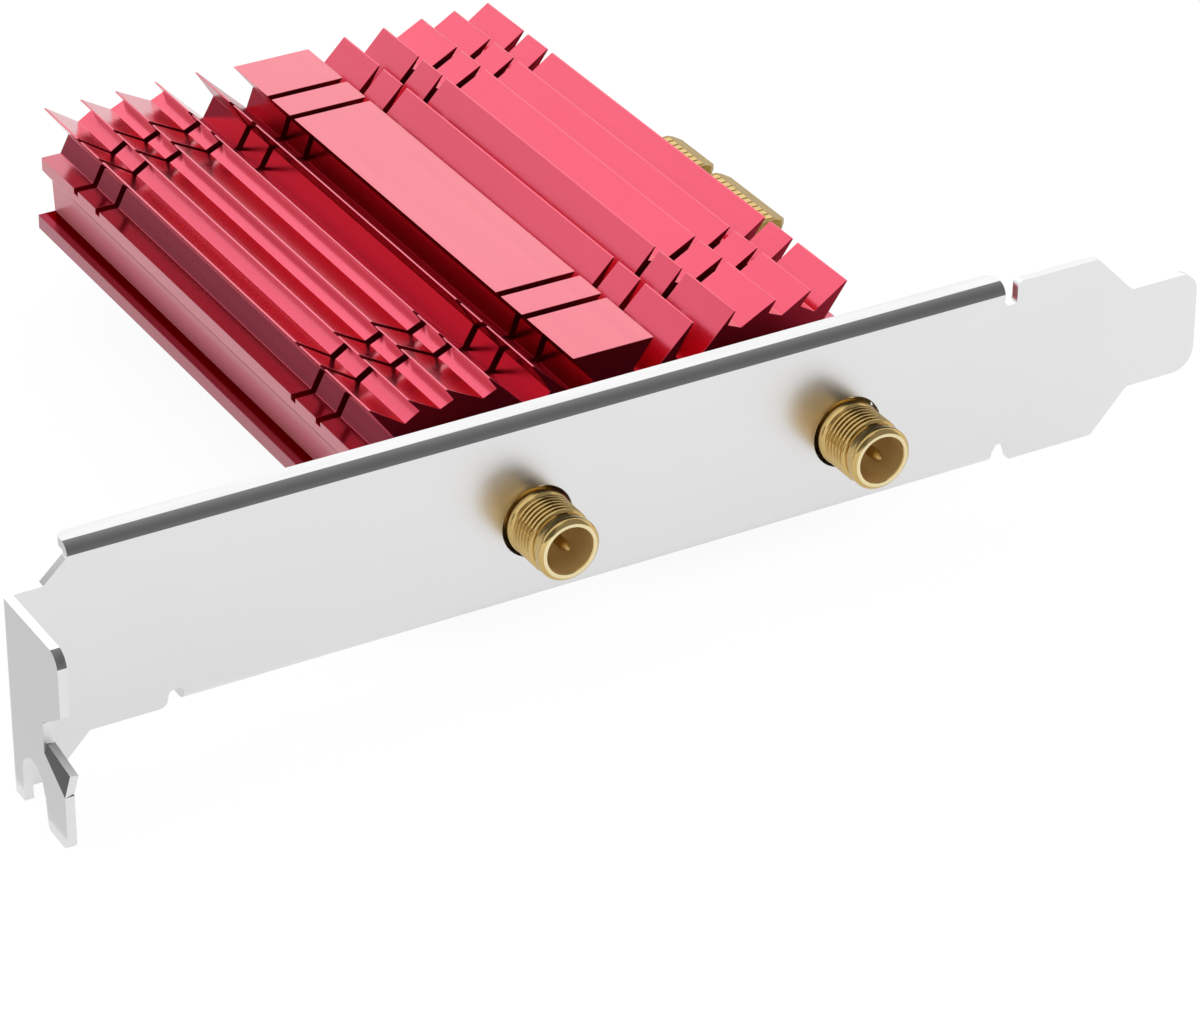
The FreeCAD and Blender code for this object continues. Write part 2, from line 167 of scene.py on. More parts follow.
def beyond(tree, value, edge, blend):
    """1 where a value is past an edge, 0 before it."""
    return spread(tree, value, 0.0, 1.0, edge - blend, edge + blend)


# %% [markdown]
# Bright metal only looks like metal when it has something to mirror, so the card
# stands in a white studio. The white of the floor is in part a glow that only the
# camera and reflections see, so no matte piece is lit by it. Seen from below, the
# floor is clear, so that the solder side can be looked at.

# %% White floor
def link_new(name, mesh):
    """An object for a mesh, put into the scene."""
    made = bpy.data.objects.new(name, mesh)
    bpy.context.collection.objects.link(made)
    return made


def flat_panel(name, wide, high, place, facing):
    """A plain rectangle that looks along facing."""
    panel = bmesh.new()
    bmesh.ops.create_grid(panel, x_segments=1, y_segments=1, size=0.5)
    bmesh.ops.scale(panel, vec=(wide, high, 1), verts=panel.verts)
    turn = Vector(facing).to_track_quat("Z", "Y").to_matrix().to_4x4()
    bmesh.ops.transform(panel, matrix=Matrix.Translation(place) @ turn, verts=panel.verts)
    mesh = bpy.data.meshes.new(name)
    panel.to_mesh(mesh)
    panel.free()
    return link_new(name, mesh)


def seen_as(tree, camera, mirror, glass):
    """How much of its own white a surface shows to each kind of ray."""
    path = tree.nodes.new("ShaderNodeLightPath")
    most = None
    shares = {"Is Camera Ray": camera, "Is Glossy Ray": mirror, "Is Transmission Ray": glass}
    for ray, amount in shares.items():
        part = tree.nodes.new("ShaderNodeMath")
        part.operation = "MULTIPLY"
        part.inputs[1].default_value = amount
        tree.links.new(path.outputs[ray], part.inputs[0])
        if most is not None:
            larger = tree.nodes.new("ShaderNodeMath")
            larger.operation = "MAXIMUM"
            tree.links.new(most, larger.inputs[0])
            tree.links.new(part.outputs[0], larger.inputs[1])
            part = larger
        most = part.outputs[0]
    return most


def mixed(tree, share, first, second):
    """Two shaders laid over each other: none of the second at 0, all of it at 1."""
    mix = tree.nodes.new("ShaderNodeMixShader")
    tree.links.new(share, mix.inputs[0])
    tree.links.new(first.outputs[0], mix.inputs[1])
    tree.links.new(second.outputs[0], mix.inputs[2])
    return mix


def white_paper():
    """Matte white with a share of its own white, clear from below."""
    paper = bpy.data.materials.new("white_paper")
    paper.use_nodes = True
    tree = paper.node_tree
    tree.nodes.clear()
    matte = tree.nodes.new("ShaderNodeBsdfDiffuse")
    matte.inputs["Color"].default_value = (0.88, 0.88, 0.88, 1)
    bright = tree.nodes.new("ShaderNodeEmission")
    bright.inputs["Strength"].default_value = 1.06
    sheet = mixed(tree, seen_as(tree, 0.88, 0.56, 0.88), matte, bright)
    side = tree.nodes.new("ShaderNodeNewGeometry")
    clear = tree.nodes.new("ShaderNodeBsdfTransparent")
    from_below = mixed(tree, side.outputs["Backfacing"], sheet, clear)
    surface = tree.nodes.new("ShaderNodeOutputMaterial")
    tree.links.new(from_below.outputs[0], surface.inputs["Surface"])
    return paper


bench = flat_panel("bench_floor", 8.0, 8.0, (0, 0, 0), (0, 0, 1))
bench.data.materials.append(white_paper())
print("floor", tuple(bench.dimensions))

# %% [markdown]
# In an all-white room polished metal turns as white as the room. Dark cards far in
# front and above give the barrels their dark side and the fins their deep red, and
# low grey cards at the left shade the screw tab and the heatsink's side. Only
# reflections see them. The far cards are darker for a second reflection than for a
# first one: the barrels, which see them by way of the bracket, get a dark top, and
# the heatsink still keeps its red from behind.

# %% Grey cards
CARD_WAY = (-0.268, 0.963, -0.08)
DEEP_GLOW = 0.01


def grey_card(name, wide, high, place, facing, glow, deep_glow=None):
    """A card of even grey, with its own grey for second reflections if it has one."""
    felt, tree, shader = new_finish(name, Base_Color=(0.02, 0.02, 0.02, 1), Roughness=0.9,
                                    Emission_Color=(1, 1, 1, 1), Emission_Strength=glow)
    if deep_glow is not None:
        path = tree.nodes.new("ShaderNodeLightPath")
        fade = spread(tree, path.outputs["Ray Depth"], glow, deep_glow, 1.0, 2.0)
        tree.links.new(fade, shader.inputs["Emission Strength"])
    card = flat_panel(name, wide, high, place, facing)
    card.data.materials.append(felt)
    card.visible_camera = False
    card.visible_shadow = False
    card.visible_diffuse = False
    print(name, "glows", glow)


grey_card("dark_card_front", 2.3, 1.5, (0.808, -1.004, 0.755), CARD_WAY, 0.3, DEEP_GLOW)
grey_card("dark_card_front_left", 1.97, 1.55, (-1.248, -1.577, 1.125), CARD_WAY, 0.12, DEEP_GLOW)
grey_card("dark_card_above", 1.0, 0.8, (0.54, -0.36, 1.02), (-0.45, 0.3, -0.85), 0.3, DEEP_GLOW)
grey_card("dark_card_left", 0.26, 0.055, (-0.1, 0.07, 0.028), (1, 0, 0), 0.2)
grey_card("grey_sheet_tab", 0.042, 0.06, (-0.0813, -0.02, 0.0007), (0, 0, 1), 0.61)
grey_card("grey_sheet_rail", 0.034, 0.1, (-0.041, 0.02, 0.0005), (0, 0, 1), 0.66)

# %% [markdown]
# The room lights the card evenly from all sides, a little less brightly than it
# looks in the picture and in mirrors. One soft box behind on the right draws the
# light edges along the fins.

# %% White room and soft box
def background(tree, strength):
    """White light of a strength, from every side."""
    light = tree.nodes.new("ShaderNodeBackground")
    light.inputs["Color"].default_value = (1, 1, 1, 1)
    light.inputs["Strength"].default_value = strength
    return light


def white_room():
    """A world that is full white to look at and less than that as a light."""
    studio = bpy.data.worlds.new("studio")
    studio.use_nodes = True
    tree = studio.node_tree
    tree.nodes.clear()
    pick = mixed(tree, seen_as(tree, 1.0, 1.0, 1.0), background(tree, 0.78), background(tree, 1.0))
    sky = tree.nodes.new("ShaderNodeOutputWorld")
    tree.links.new(pick.outputs[0], sky.inputs["Surface"])
    return studio


def soft_box(name, place, wide, high, watts):
    """A rectangular lamp that looks at the card and isn't seen itself."""
    lamp = bpy.data.lights.new(name, "AREA")
    lamp.shape = "RECTANGLE"
    lamp.size = wide
    lamp.size_y = high
    lamp.energy = watts
    box = link_new(name, lamp)
    box.location = place
    box.rotation_euler = (-Vector(place)).to_track_quat("-Z", "Y").to_euler()
    box.visible_camera = False


bpy.context.scene.world = white_room()
soft_box("soft_box_behind", (0.32, 0.85, 0.66), 1.4, 0.7, 1.05)
bpy.context.scene.view_settings.view_transform = "Standard"
print("room", bpy.context.scene.world.name, "with", len(bpy.data.lights), "lamp")

# %% [markdown]
# The heatsink is extruded aluminium, anodised and dyed. Metal under a clear dyed
# skin mirrors its surroundings in red, and light that bounces between two fins is
# dyed twice, which is why the valleys go so deep. Fine lines left by the die run
# the length of the extrusion, along Y. The top of the middle rib is a rougher satin
# painted a paler red, a painted sheen, and the outer sides are painted a paler, less
# metallic red, also a painted sheen. The sawn ends, the foot, the rail tops with the
# foot's outer faces and the valley left of the rib are painted a darker red: painted shade.

# %% Red anodised aluminium
DIE_LINES = (1600, 9, 1600)
GLOSSY = (0.2, 0.26)
FOOT_CHANGE = 25.0
FOOT_BLEND = 0.15


def anodised(name, dark, light, glossiness, coat=0.9, coat_ior=1.5, metal=1.0):
    """Dyed anodised aluminium, from its darker and lighter tone and its roughness range."""
    made, tree, shader = new_finish(name, Metallic=metal, Coat_Roughness=0.15, Coat_IOR=coat_ior,
                                    Coat_Weight=coat)
    lines = grain(tree, DIE_LINES, 2.0)
    cloud = grain(tree, (60, 25, 60), 3.0)
    tree.links.new(tint(tree, cloud, dark, light), shader.inputs["Base Color"])
    tree.links.new(spread(tree, lines, *glossiness), shader.inputs["Roughness"])
    raise_grain(tree, shader, lines, 0.0000012)
    return made


def painted_shade_foot():
    """The foot's narrow ledge in painted shade: darkest next to the web, a little less dark outside."""
    made, tree, shader = new_finish("red_foot_painted_shade", Metallic=1.0, Specular_Tint=(0.5, 0.04, 0.07, 1))
    out = tree.nodes.new("ShaderNodeMath")
    out.operation = "SUBTRACT"
    out.inputs[1].default_value = SINK_MIDDLE
    tree.links.new(place_along(tree, "X"), out.inputs[0])
    far = tree.nodes.new("ShaderNodeMath")
    far.operation = "ABSOLUTE"
    tree.links.new(out.outputs[0], far.inputs[0])
    outer = beyond(tree, far.outputs[0], FOOT_CHANGE * MM, FOOT_BLEND * MM)
    tones = tint(tree, outer, (0.15, 0.006, 0.012), (0.36, 0.09, 0.115), 0.0, 1.0)
    tree.links.new(tones, shader.inputs["Base Color"])
    tree.links.new(spread(tree, grain(tree, DIE_LINES, 2.0), *GLOSSY), shader.inputs["Roughness"])
    return made


RED = anodised("red_anodised", (0.71, 0.046, 0.104), (0.76, 0.056, 0.118), GLOSSY)
# The rib's top: a rougher satin, painted a paler red as a painted sheen.
RED_SATIN_SHEEN = anodised("red_satin_painted_sheen", (0.73, 0.122, 0.175), (0.76, 0.134, 0.188), (0.36, 0.42))
# The sawn end faces: painted a dark red, painted shade.
RED_END_SHADE = anodised("red_end_painted_shade", (0.36, 0.010, 0.030), (0.44, 0.014, 0.038), (0.4, 0.5), 0.15)
# The foot's ledge: painted shade, darkest where it meets the web.
RED_FOOT_SHADE = painted_shade_foot()
# The web and rail on the outer sides: painted a paler, less metallic red as a painted sheen.
RED_SIDE_SHEEN = anodised("red_side_painted_sheen", (0.75, 0.22, 0.27), (0.80, 0.24, 0.29), (0.46, 0.52), 0.6, 1.8, 0.3)
# The valley left of the rib only: painted a dark red, painted shade.
RED_VALLEY_SHADE = anodised("red_valley_painted_shade", (0.43, 0.009, 0.034), (0.49, 0.013, 0.044), GLOSSY, 0.1)
# The rail tops and the foot's outer faces: painted a darker red, painted shade.
RED_LOW_SHADE = anodised("red_low_painted_shade", (0.46, 0.036, 0.078), (0.50, 0.044, 0.086), GLOSSY)
REDS = [RED, RED_SATIN_SHEEN, RED_END_SHADE, RED_FOOT_SHADE, RED_SIDE_SHEEN, RED_VALLEY_SHADE, RED_LOW_SHADE]
print("reds:", [red.name for red in REDS])

# %% [markdown]
# The bracket is rolled steel sheet with a thin nickel plating: satin, almost
# white, with a very fine grain left by the rolling along its length. The bends that
# look forward and up, and the lanced corner, are painted a dark, rough grey: a
# painted dark reflection. The top of the bent-back edge is rougher, keeps a little
# more of the rolling grain, and is painted a little darker: a painted shade.

# %% Nickel-plated steel
ROLLED = (60, 900, 900)
TUMBLED = (500, 500, 500)


def plated_steel(name, pale, satin, along=ROLLED, uneven=0.01, relief=0.0):
    """Plating from its paleness and roughness, with a grain drawn out along one way."""
    made, tree, shader = new_finish(name, Metallic=1.0)
    rolled = grain(tree, along, 3.0)
    cloud = grain(tree, (70, 70, 70), 4.0)
    dark = tuple(pale * v for v in (0.985, 0.985, 0.987))
    light = (pale, pale, pale)
    tree.links.new(tint(tree, cloud, dark, light), shader.inputs["Base Color"])
    tree.links.new(spread(tree, rolled, satin - uneven, satin + uneven), shader.inputs["Roughness"])
    if relief:
        raise_grain(tree, shader, rolled, relief)
    return made


STEEL = plated_steel("plated_steel", 0.9, 0.3)
# Bends that look forward and up, and the lanced corner: painted dark grey, a painted dark reflection.
DARK_REFLECTION_STEEL = plated_steel("painted_dark_reflection_steel", 0.27, 0.62, ROLLED, 0.03)
# The top of the bent-back edge: more rolling grain and roughness, and its plating painted a little darker
# as painted shade.
ROLLED_EDGE_SHADE = plated_steel("rolled_edge_painted_shade_steel", 0.79, 0.42, (60, 1400, 1400), 0.05, 0.0000012)
STEELS = [STEEL, DARK_REFLECTION_STEEL, ROLLED_EDGE_SHADE]
SCREW_STEEL = plated_steel("screw_steel", 0.74, 0.24, TUMBLED, 0.03)
print("steels:", [steel.name for steel in STEELS], SCREW_STEEL.name)

# %% [markdown]
# The jacks are turned brass, plated with gold. A lathe leaves rings round the
# axis, so the grain changes only along Y. The bore is a satin gold painted paler,
# painted light in the hollow; the rim of the mouth is painted almost cream, a
# painted highlight; and the cast base behind the bracket is painted dull and dark,
# a painted shade.

# %% Gold plating
LATHE_RINGS = (60, 2600, 60)
GOLD_DARK = (0.62, 0.43, 0.16)
GOLD_LIGHT = (0.69, 0.49, 0.195)


def gold(name, rings, low, high, dark=GOLD_DARK, light=GOLD_LIGHT, metal=1.0):
    """Gold plating, from its grain, its roughness range and its two tones."""
    made, tree, shader = new_finish(name, Metallic=metal)
    turned = grain(tree, rings, 2.0)
    cloud = grain(tree, (300, 300, 300), 2.0)
    tree.links.new(tint(tree, cloud, dark, light), shader.inputs["Base Color"])
    tree.links.new(spread(tree, turned, low, high), shader.inputs["Roughness"])
    raise_grain(tree, shader, turned, 0.000003)
    return made


TURNED_GOLD = gold("turned_gold", LATHE_RINGS, 0.12, 0.2)
# The bore: a satin gold painted paler and less metallic, painted light inside the hollow.
BORE_PAINTED_LIGHT = gold("bore_painted_light_gold", LATHE_RINGS, 0.42, 0.5, (0.88, 0.66, 0.30), (0.94, 0.72, 0.34), 0.7)
# The base behind the bracket: painted dark gold, painted shade.
BASE_PAINTED_SHADE = gold("base_painted_shade_gold", (400, 400, 400), 0.42, 0.55, (0.10, 0.065, 0.02), (0.14, 0.09, 0.03))
# The rim of the mouth: painted an almost cream gold, a painted highlight.
RIM_PAINTED_HIGHLIGHT = gold("rim_painted_highlight_gold", LATHE_RINGS, 0.12, 0.2, (0.90, 0.76, 0.44), (0.95, 0.82, 0.50))
GOLDS = [TURNED_GOLD, BORE_PAINTED_LIGHT, BASE_PAINTED_SHADE, RIM_PAINTED_HIGHLIGHT]
CONTACT_GOLD = gold("contact_gold", (900, 120, 900), 0.285, 0.36)
print("golds:", [plating.name for plating in GOLDS], CONTACT_GOLD.name)

# %% [markdown]
# The board is glass fibre under solder mask. The mask is a glossy lacquer whose
# green is deeper where it lies over bare laminate than over copper, and the weave
# shows through faintly. At the end of the plug-in tongue, between its contacts,
# there is no lacquer and the laminate shows its own yellowish brown.

# %% Solder mask over laminate
BARE_FROM = at(96.9, 0, 0).x
BARE_BLEND = 0.05 * MM


def solder_mask(name, dark, light, bare_from=None):
    """Green lacquer in two tones, with bare laminate past a place along X."""
    made, tree, shader = new_finish(name, Coat_Weight=0.12, Coat_Roughness=0.12, Specular_IOR_Level=0.3)
    cloud = grain(tree, (420, 420, 420), 3.0)
    weave = grain(tree, (5200, 900, 900), 1.0)
    colour = tint(tree, cloud, dark, light)
    if bare_from is not None:
        fibres = grain(tree, (2600, 500, 900), 2.0)
        bare = tint(tree, fibres, (0.42, 0.26, 0.035), (0.53, 0.35, 0.06))
        swap = tree.nodes.new("ShaderNodeMix")
        swap.data_type = "RGBA"
        tree.links.new(beyond(tree, place_along(tree, "X"), bare_from, BARE_BLEND), swap.inputs["Factor"])
        tree.links.new(colour, swap.inputs[6])
        tree.links.new(bare, swap.inputs[7])
        colour = swap.outputs[2]
    tree.links.new(colour, shader.inputs["Base Color"])
    tree.links.new(spread(tree, weave, 0.3, 0.42), shader.inputs["Roughness"])
    raise_grain(tree, shader, weave, 0.000004)
    return made


MASK = solder_mask("solder_mask", (0.004, 0.022, 0.014), (0.008, 0.034, 0.022), BARE_FROM)
MASK_ON_COPPER = solder_mask("mask_on_copper", (0.013, 0.066, 0.040), (0.020, 0.084, 0.052))
print("masks:", MASK.name, MASK_ON_COPPER.name)

# %% [markdown]
# Small parts: moulded resin packages, a soft thermal pad, tinned sheet, white
# fluoroplastic in the jacks. Most of them sit under the heatsink, and each still
# has its own finish, because the card can be taken apart.

# %% Finishes of the small parts
def moulded(name, dark, light, low, high, size=900, height=0.00001):
    """A speckled, slightly uneven body, from its two tones and its roughness range."""
    made, tree, shader = new_finish(name, IOR=1.5)
    speck = grain(tree, (size, size, size), 4.0)
    tree.links.new(tint(tree, speck, dark, light), shader.inputs["Base Color"])
    tree.links.new(spread(tree, speck, low, high), shader.inputs["Roughness"])
    raise_grain(tree, shader, speck, height)
    return made


RESIN = moulded("black_resin", (0.010, 0.010, 0.011), (0.022, 0.022, 0.024), 0.45, 0.6)
PAD = moulded("thermal_pad", (0.26, 0.32, 0.40), (0.34, 0.40, 0.48), 0.7, 0.85, 500, 0.00003)
WHITE_CORE = moulded("white_core", (0.78, 0.77, 0.73), (0.86, 0.85, 0.82), 0.35, 0.5)
FERRITE = moulded("pressed_ferrite", (0.045, 0.045, 0.05), (0.085, 0.085, 0.09), 0.5, 0.7, 1500, 0.00002)
CERAMIC = moulded("tan_ceramic", (0.36, 0.25, 0.16), (0.46, 0.34, 0.23), 0.35, 0.5)
TINNED = plated_steel("tinned_sheet", 0.68, 0.34, TUMBLED, 0.04, 0.000001)
CRYSTAL_LID = plated_steel("crystal_lid", 0.78, 0.22, (900, 60, 900), 0.03)

FINISH_OF = {
    "circuit_board": MASK, "edge_contacts": CONTACT_GOLD, "heatsink": RED, "bracket": STEEL,
    "heatsink_screws": SCREW_STEEL, "bracket_screws": SCREW_STEEL,
    "jack_shell_left": TURNED_GOLD, "jack_shell_right": TURNED_GOLD,
    "jack_contact_left": CONTACT_GOLD, "jack_contact_right": CONTACT_GOLD,
    "jack_insulator_left": WHITE_CORE, "jack_insulator_right": WHITE_CORE,
    "shield_frame": TINNED, "shield_lid": TINNED, "radio_chip": RESIN, "front_end_modules": RESIN,
    "flash_chip": RESIN, "voltage_regulator": RESIN, "inner_thermal_pad": PAD, "outer_thermal_pad": PAD,
    "crystal": CRYSTAL_LID, "power_inductors": FERRITE, "capacitors": CERAMIC,
}
for node_name, finish in FINISH_OF.items():
    nodes[node_name].data.materials.clear()
    nodes[node_name].data.materials.append(finish)
print("finishes on", len(FINISH_OF), "of", len(nodes), "nodes")

# %% [markdown]
# Sheared sheet and sawn fins never have perfectly sharp edges, and the thin
# bright line along an edge is the light caught by its tiny round. The packed
# pieces are sharp, so a copy is merged, its flat areas are joined again, and its
# edges are bevelled by less than a tenth of a millimetre.

# %% Copies with broken edges
def add_piece(name, work, finishes, hides=()):
    """Turns a bmesh into a piece that rides with the card."""
    data = bpy.data.meshes.new(name)
    work.to_mesh(data)
    work.free()
    piece = link_new(name, data)
    for finish in finishes:
        data.materials.append(finish)
    for face in data.polygons:
        face.use_smooth = True
    data.set_sharp_from_angle(angle=math.radians(32))
    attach(piece, "root")
    if hides:
        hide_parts(*hides)
    print(name, len(data.polygons), "faces")
    return piece


def edge_softened(node_name, radius, least_angle, shortest, sort_faces):
    """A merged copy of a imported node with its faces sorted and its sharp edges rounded."""
    work = bmesh.new()
    work.from_mesh(nodes[node_name].data)
    bmesh.ops.remove_doubles(work, verts=work.verts, dist=0.000002)
    bmesh.ops.dissolve_limit(work, angle_limit=math.radians(0.6), verts=work.verts, edges=work.edges)
    sort_faces(work)
    sharp = [e for e in work.edges if e.is_manifold and e.calc_length() > shortest
             and e.calc_face_angle() > math.radians(least_angle)]
    bmesh.ops.bevel(work, geom=sharp, offset=radius, offset_type="OFFSET", segments=2,
                    profile=0.5, affect="EDGES", clamp_overlap=True, material=-1)
    print(node_name, "edges rounded:", len(sharp))
    return work


def keep_flats_flat(piece):
    """Lets the large faces decide the shading, so that only the rounds curve."""
    weigh = piece.modifiers.new("keep_flats_flat", "WEIGHTED_NORMAL")
    weigh.keep_sharp = True
    weigh.weight = 100


# %% [markdown]
# The heatsink's fins keep thin, bright, barely broken edges. Each kind of face on
# the extrusion is found by its height, its distance from the middle and the way
# it looks, and gets its own red: most are the one red painted paler as painted
# sheen or darker as painted shade.

# %% Heatsink
RIB_HALF = 4.2
RIB_LOW = 15.8
VALLEY_OUT = 8.2
VALLEY_LOW = 10
VALLEY_HIGH = 15.6
SIDE_OUT = 23.5
SIDE_HIGH = 11.1
SHOULDER_HIGH = 11.3
LEDGE_HIGH = 5.2


def red_of(face):
    """Which of the reds a face of the extrusion wears."""
    middle = face.calc_center_median()
    out = (middle.x - SINK_MIDDLE) / MM
    height = (middle.z - CARD_LOW) / MM
    outward = face.normal.x if out > 0 else -face.normal.x
    looks_up = face.normal.z > 0.9
    at_side = abs(out) > SIDE_OUT
    # Every red here but RED is painted sheen or painted shade, picked by where a face lies and which way
    # it looks.
    if abs(face.normal.y) > 0.9:
        return RED_END_SHADE
    if face.normal.z > 0.999 and abs(out) < RIB_HALF and height > RIB_LOW:
        return RED_SATIN_SHEEN
    if looks_up and height < LEDGE_HIGH:
        return RED_FOOT_SHADE
    if at_side and LEDGE_HIGH < height < SIDE_HIGH and outward > 0.25:
        return RED_SIDE_SHEEN
    if at_side and height < SHOULDER_HIGH and (looks_up or height < LEDGE_HIGH):
        return RED_LOW_SHADE
    if -VALLEY_OUT < out < 0 and VALLEY_LOW < height < VALLEY_HIGH:
        return RED_VALLEY_SHADE
    return RED


def sort_reds(work):
    """Gives every face of the extrusion its red."""
    for face in work.faces:
        face.material_index = REDS.index(red_of(face))


sawn_extrusion = edge_softened("heatsink", 0.05 * MM, 25, 0.4 * MM, sort_reds)
keep_flats_flat(add_piece("finned_heatsink", sawn_extrusion, REDS, ["heatsink"]))

# %% [markdown]
# The bracket is bent from one sheet. Its bends that look forward and up, and the
# corner of the screw tab that is lanced and pushed in, carry the painted dark
# reflection. The top of the bent-back edge keeps the rolling grain, and its
# plating is painted a little darker, a painted shade.

# %% Slot bracket
FACE_HIGH = 18.42
EDGE_TOP = at(0, 0, FACE_HIGH).z
NEAR = 0.05 * MM
LANCED_LOW = at(-0.2, -10.7, 1.4)
LANCED_HIGH = at(1.6, -6.6, 6.6)


def within(point, low, high):
    """Whether a point is inside the box between two corners."""
    return all(low[i] < point[i] < high[i] for i in range(3))


def sort_steels(work):
    """Gives the forward- and upward-looking bends and the lanced corner the painted dark reflection, and
    the bent-back top edge its painted shade.
    """
    for face in work.faces:
        middle = face.calc_center_median()
        looks = face.normal
        finish = STEEL
        # Faces looking forward and up, and the lanced corner, get the painted dark reflection.
        if looks.y < -0.12 and looks.z > 0.12 and abs(looks.x) < 0.05:
            finish = DARK_REFLECTION_STEEL
        elif within(middle, LANCED_LOW, LANCED_HIGH) and -0.99 < looks.x < -0.8:
            finish = DARK_REFLECTION_STEEL
        # The top face of the bent-back edge gets its painted shade.
        elif looks.z > 0.99 and abs(middle.z - EDGE_TOP) < NEAR:
            finish = ROLLED_EDGE_SHADE
        face.material_index = STEELS.index(finish)


bent_sheet = edge_softened("bracket", 0.08 * MM, 40, 0.2 * MM, sort_steels)
keep_flats_flat(add_piece("slot_bracket", bent_sheet, STEELS, ["bracket"]))

# %% [markdown]
# A jack is one turned barrel: mouth, plain lip, groove, screw thread and collar.
# Half its outline is drawn once and spun about the axis. The thread is a small
# wedge-shaped bar wound on as a helix, with both ends run down into the groove.
# Behind the bracket the barrel ends in a square base on four posts.

# %% Turned barrel
BARREL = [
    (2.05, 1.7), (2.05, -0.6), (2.27, -0.6), (2.27, -5.76), (2.33, -5.85), (2.4, -5.87), (2.58, -5.87),
    (2.66, -5.84), (2.96, -5.6), (3.01, -5.53), (3.02, -5.42), (3.02, -4.97), (2.97, -4.88), (2.82, -4.82),
    (2.82, -0.84), (2.9, -0.8), (3.03, -0.7), (3.14, -0.5), (3.18, -0.38), (3.18, 1.7),
]
BORE_WITHIN = 2.3
BORE_FROM = -5.7
RIM_BEFORE = -5.84
SEAM = 0.000001


def spun(outline, centre, steps, closed):
    """Spins a (radius, depth) outline, in millimetres, about a jack's axis."""
    work = bmesh.new()
    ring = [work.verts.new(centre + Vector((r, y, 0)) * MM) for r, y in outline]
    last = ring[1:] + ring[:1] if closed else ring[1:]
    edges = [work.edges.new((a, b)) for a, b in zip(ring, last)]
    bmesh.ops.spin(work, geom=ring + edges, cent=centre, axis=(0, 1, 0), angle=math.tau,
                   steps=steps, use_merge=True)
    bmesh.ops.remove_doubles(work, verts=work.verts, dist=SEAM)
    bmesh.ops.recalc_face_normals(work, faces=work.faces)
    return work


def turned_barrel(centre):
    """The barrel without its thread, with a satin bore painted paler as painted light and a rim painted
    cream as a painted highlight.
    """
    work = spun(BARREL, centre, 72, closed=True)
    for face in work.faces:
        local = (face.calc_center_median() - centre) / MM
        # Bore faces get the paler painted light, rim faces the painted highlight.
        if math.hypot(local.x, local.z) < BORE_WITHIN and local.y > BORE_FROM:
            face.material_index = GOLDS.index(BORE_PAINTED_LIGHT)
        elif local.y < RIM_BEFORE:
            face.material_index = GOLDS.index(RIM_PAINTED_HIGHLIGHT)
    return work


print("barrel outline:", len(BARREL), "points")

# %% [markdown]
# The thread's bar starts as one small flat face beside the barrel. A spin of six
# full turns that also moves it along the axis winds it on. Near both ends every
# point is then drawn in towards the barrel, as a cutting tool leaves it.

# %% Screw thread
THREAD_FROM = -4.16
THREAD_TO = -1.05
TURNS = 6
TURN_STEPS = 48
ROOT = 2.74
HALF_FOOT = 0.27
RUN_OUT = 0.22
WEDGE = [(ROOT, -HALF_FOOT), (3.06, -0.14), (3.12, -0.04), (3.12, 0.04), (3.06, 0.14), (ROOT, HALF_FOOT)]


def thread_bar(centre):
    """A helical ridge round the barrel."""
    work = bmesh.new()
    pitch = (THREAD_TO - THREAD_FROM) / TURNS
    verts = [work.verts.new(centre + Vector((r, THREAD_FROM + y, 0)) * MM) for r, y in WEDGE]
    face = work.faces.new(verts)
    bmesh.ops.spin(work, geom=[face], cent=centre, axis=(0, 1, 0), angle=math.tau * TURNS,
                   steps=TURN_STEPS * TURNS, dvec=(0, pitch / TURN_STEPS * MM, 0))
    for v in work.verts:
        local = (v.co - centre) / MM
        radius = math.hypot(local.x, local.z)
        to_end = min(local.y - THREAD_FROM, THREAD_TO - local.y) + HALF_FOOT
        if to_end < RUN_OUT:
            lowered = ROOT + (radius - ROOT) * max(to_end, 0) / RUN_OUT
            inward = lowered / radius
            v.co = centre + Vector((local.x * inward, local.y, local.z * inward)) * MM
    bmesh.ops.recalc_face_normals(work, faces=work.faces)
    return work


print("thread:", TURNS, "turns of", TURN_STEPS, "steps")

# %% [markdown]
# Base and posts are blocks with rounded edges. A jack's shell is one piece of
# metal, so its barrel, thread, base and posts are joined into one mesh.

# %% Antenna jacks
BASE_LOW = Vector((-3.5, 1.5, -4.28)) * MM
BASE_HIGH = Vector((3.5, 8.7, 3.5)) * MM
LEG_Y = 5.1
POST_OFF = 2.54
POST_PLACES = [(sx * POST_OFF, LEG_Y + sy * POST_OFF) for sx in (-1, 1) for sy in (-1, 1)]
LEG_HALF = 0.4 * MM
LEG_BELOW = 0.8 * MM


def joined(*parts):
    """One bmesh from several."""
    whole = parts[0]
    for part in parts[1:]:
        data = bpy.data.meshes.new("passing")
        part.to_mesh(data)
        part.free()
        whole.from_mesh(data)
        bpy.data.meshes.remove(data)
    return whole


def block(low, high, chamfer, rings):
    """A box between two corners, in metres, with rounded edges."""
    work = bmesh.new()
    bmesh.ops.create_cube(work, size=1)
    bmesh.ops.scale(work, vec=high - low, verts=work.verts)
    bmesh.ops.translate(work, vec=(high + low) / 2, verts=work.verts)
    bmesh.ops.bevel(work, geom=work.edges[:], offset=chamfer, offset_type="OFFSET", segments=rings,
                    profile=0.5, affect="EDGES", clamp_overlap=True, material=-1)
    return work


def leg(place, top):
    """A square leg from below the board up to a height in metres."""
    low = Vector((place.x - LEG_HALF, place.y - LEG_HALF, BOARD_LOW - LEG_BELOW))
    high = Vector((place.x + LEG_HALF, place.y + LEG_HALF, top))
    return block(low, high, 0.12 * MM, 2)


def cast_base(centre):
    """The square base behind the bracket, painted dark gold as painted shade."""
    base = block(centre + BASE_LOW, centre + BASE_HIGH, 0.22 * MM, 3)
    for face in base.faces:
        face.material_index = GOLDS.index(BASE_PAINTED_SHADE)
    return base


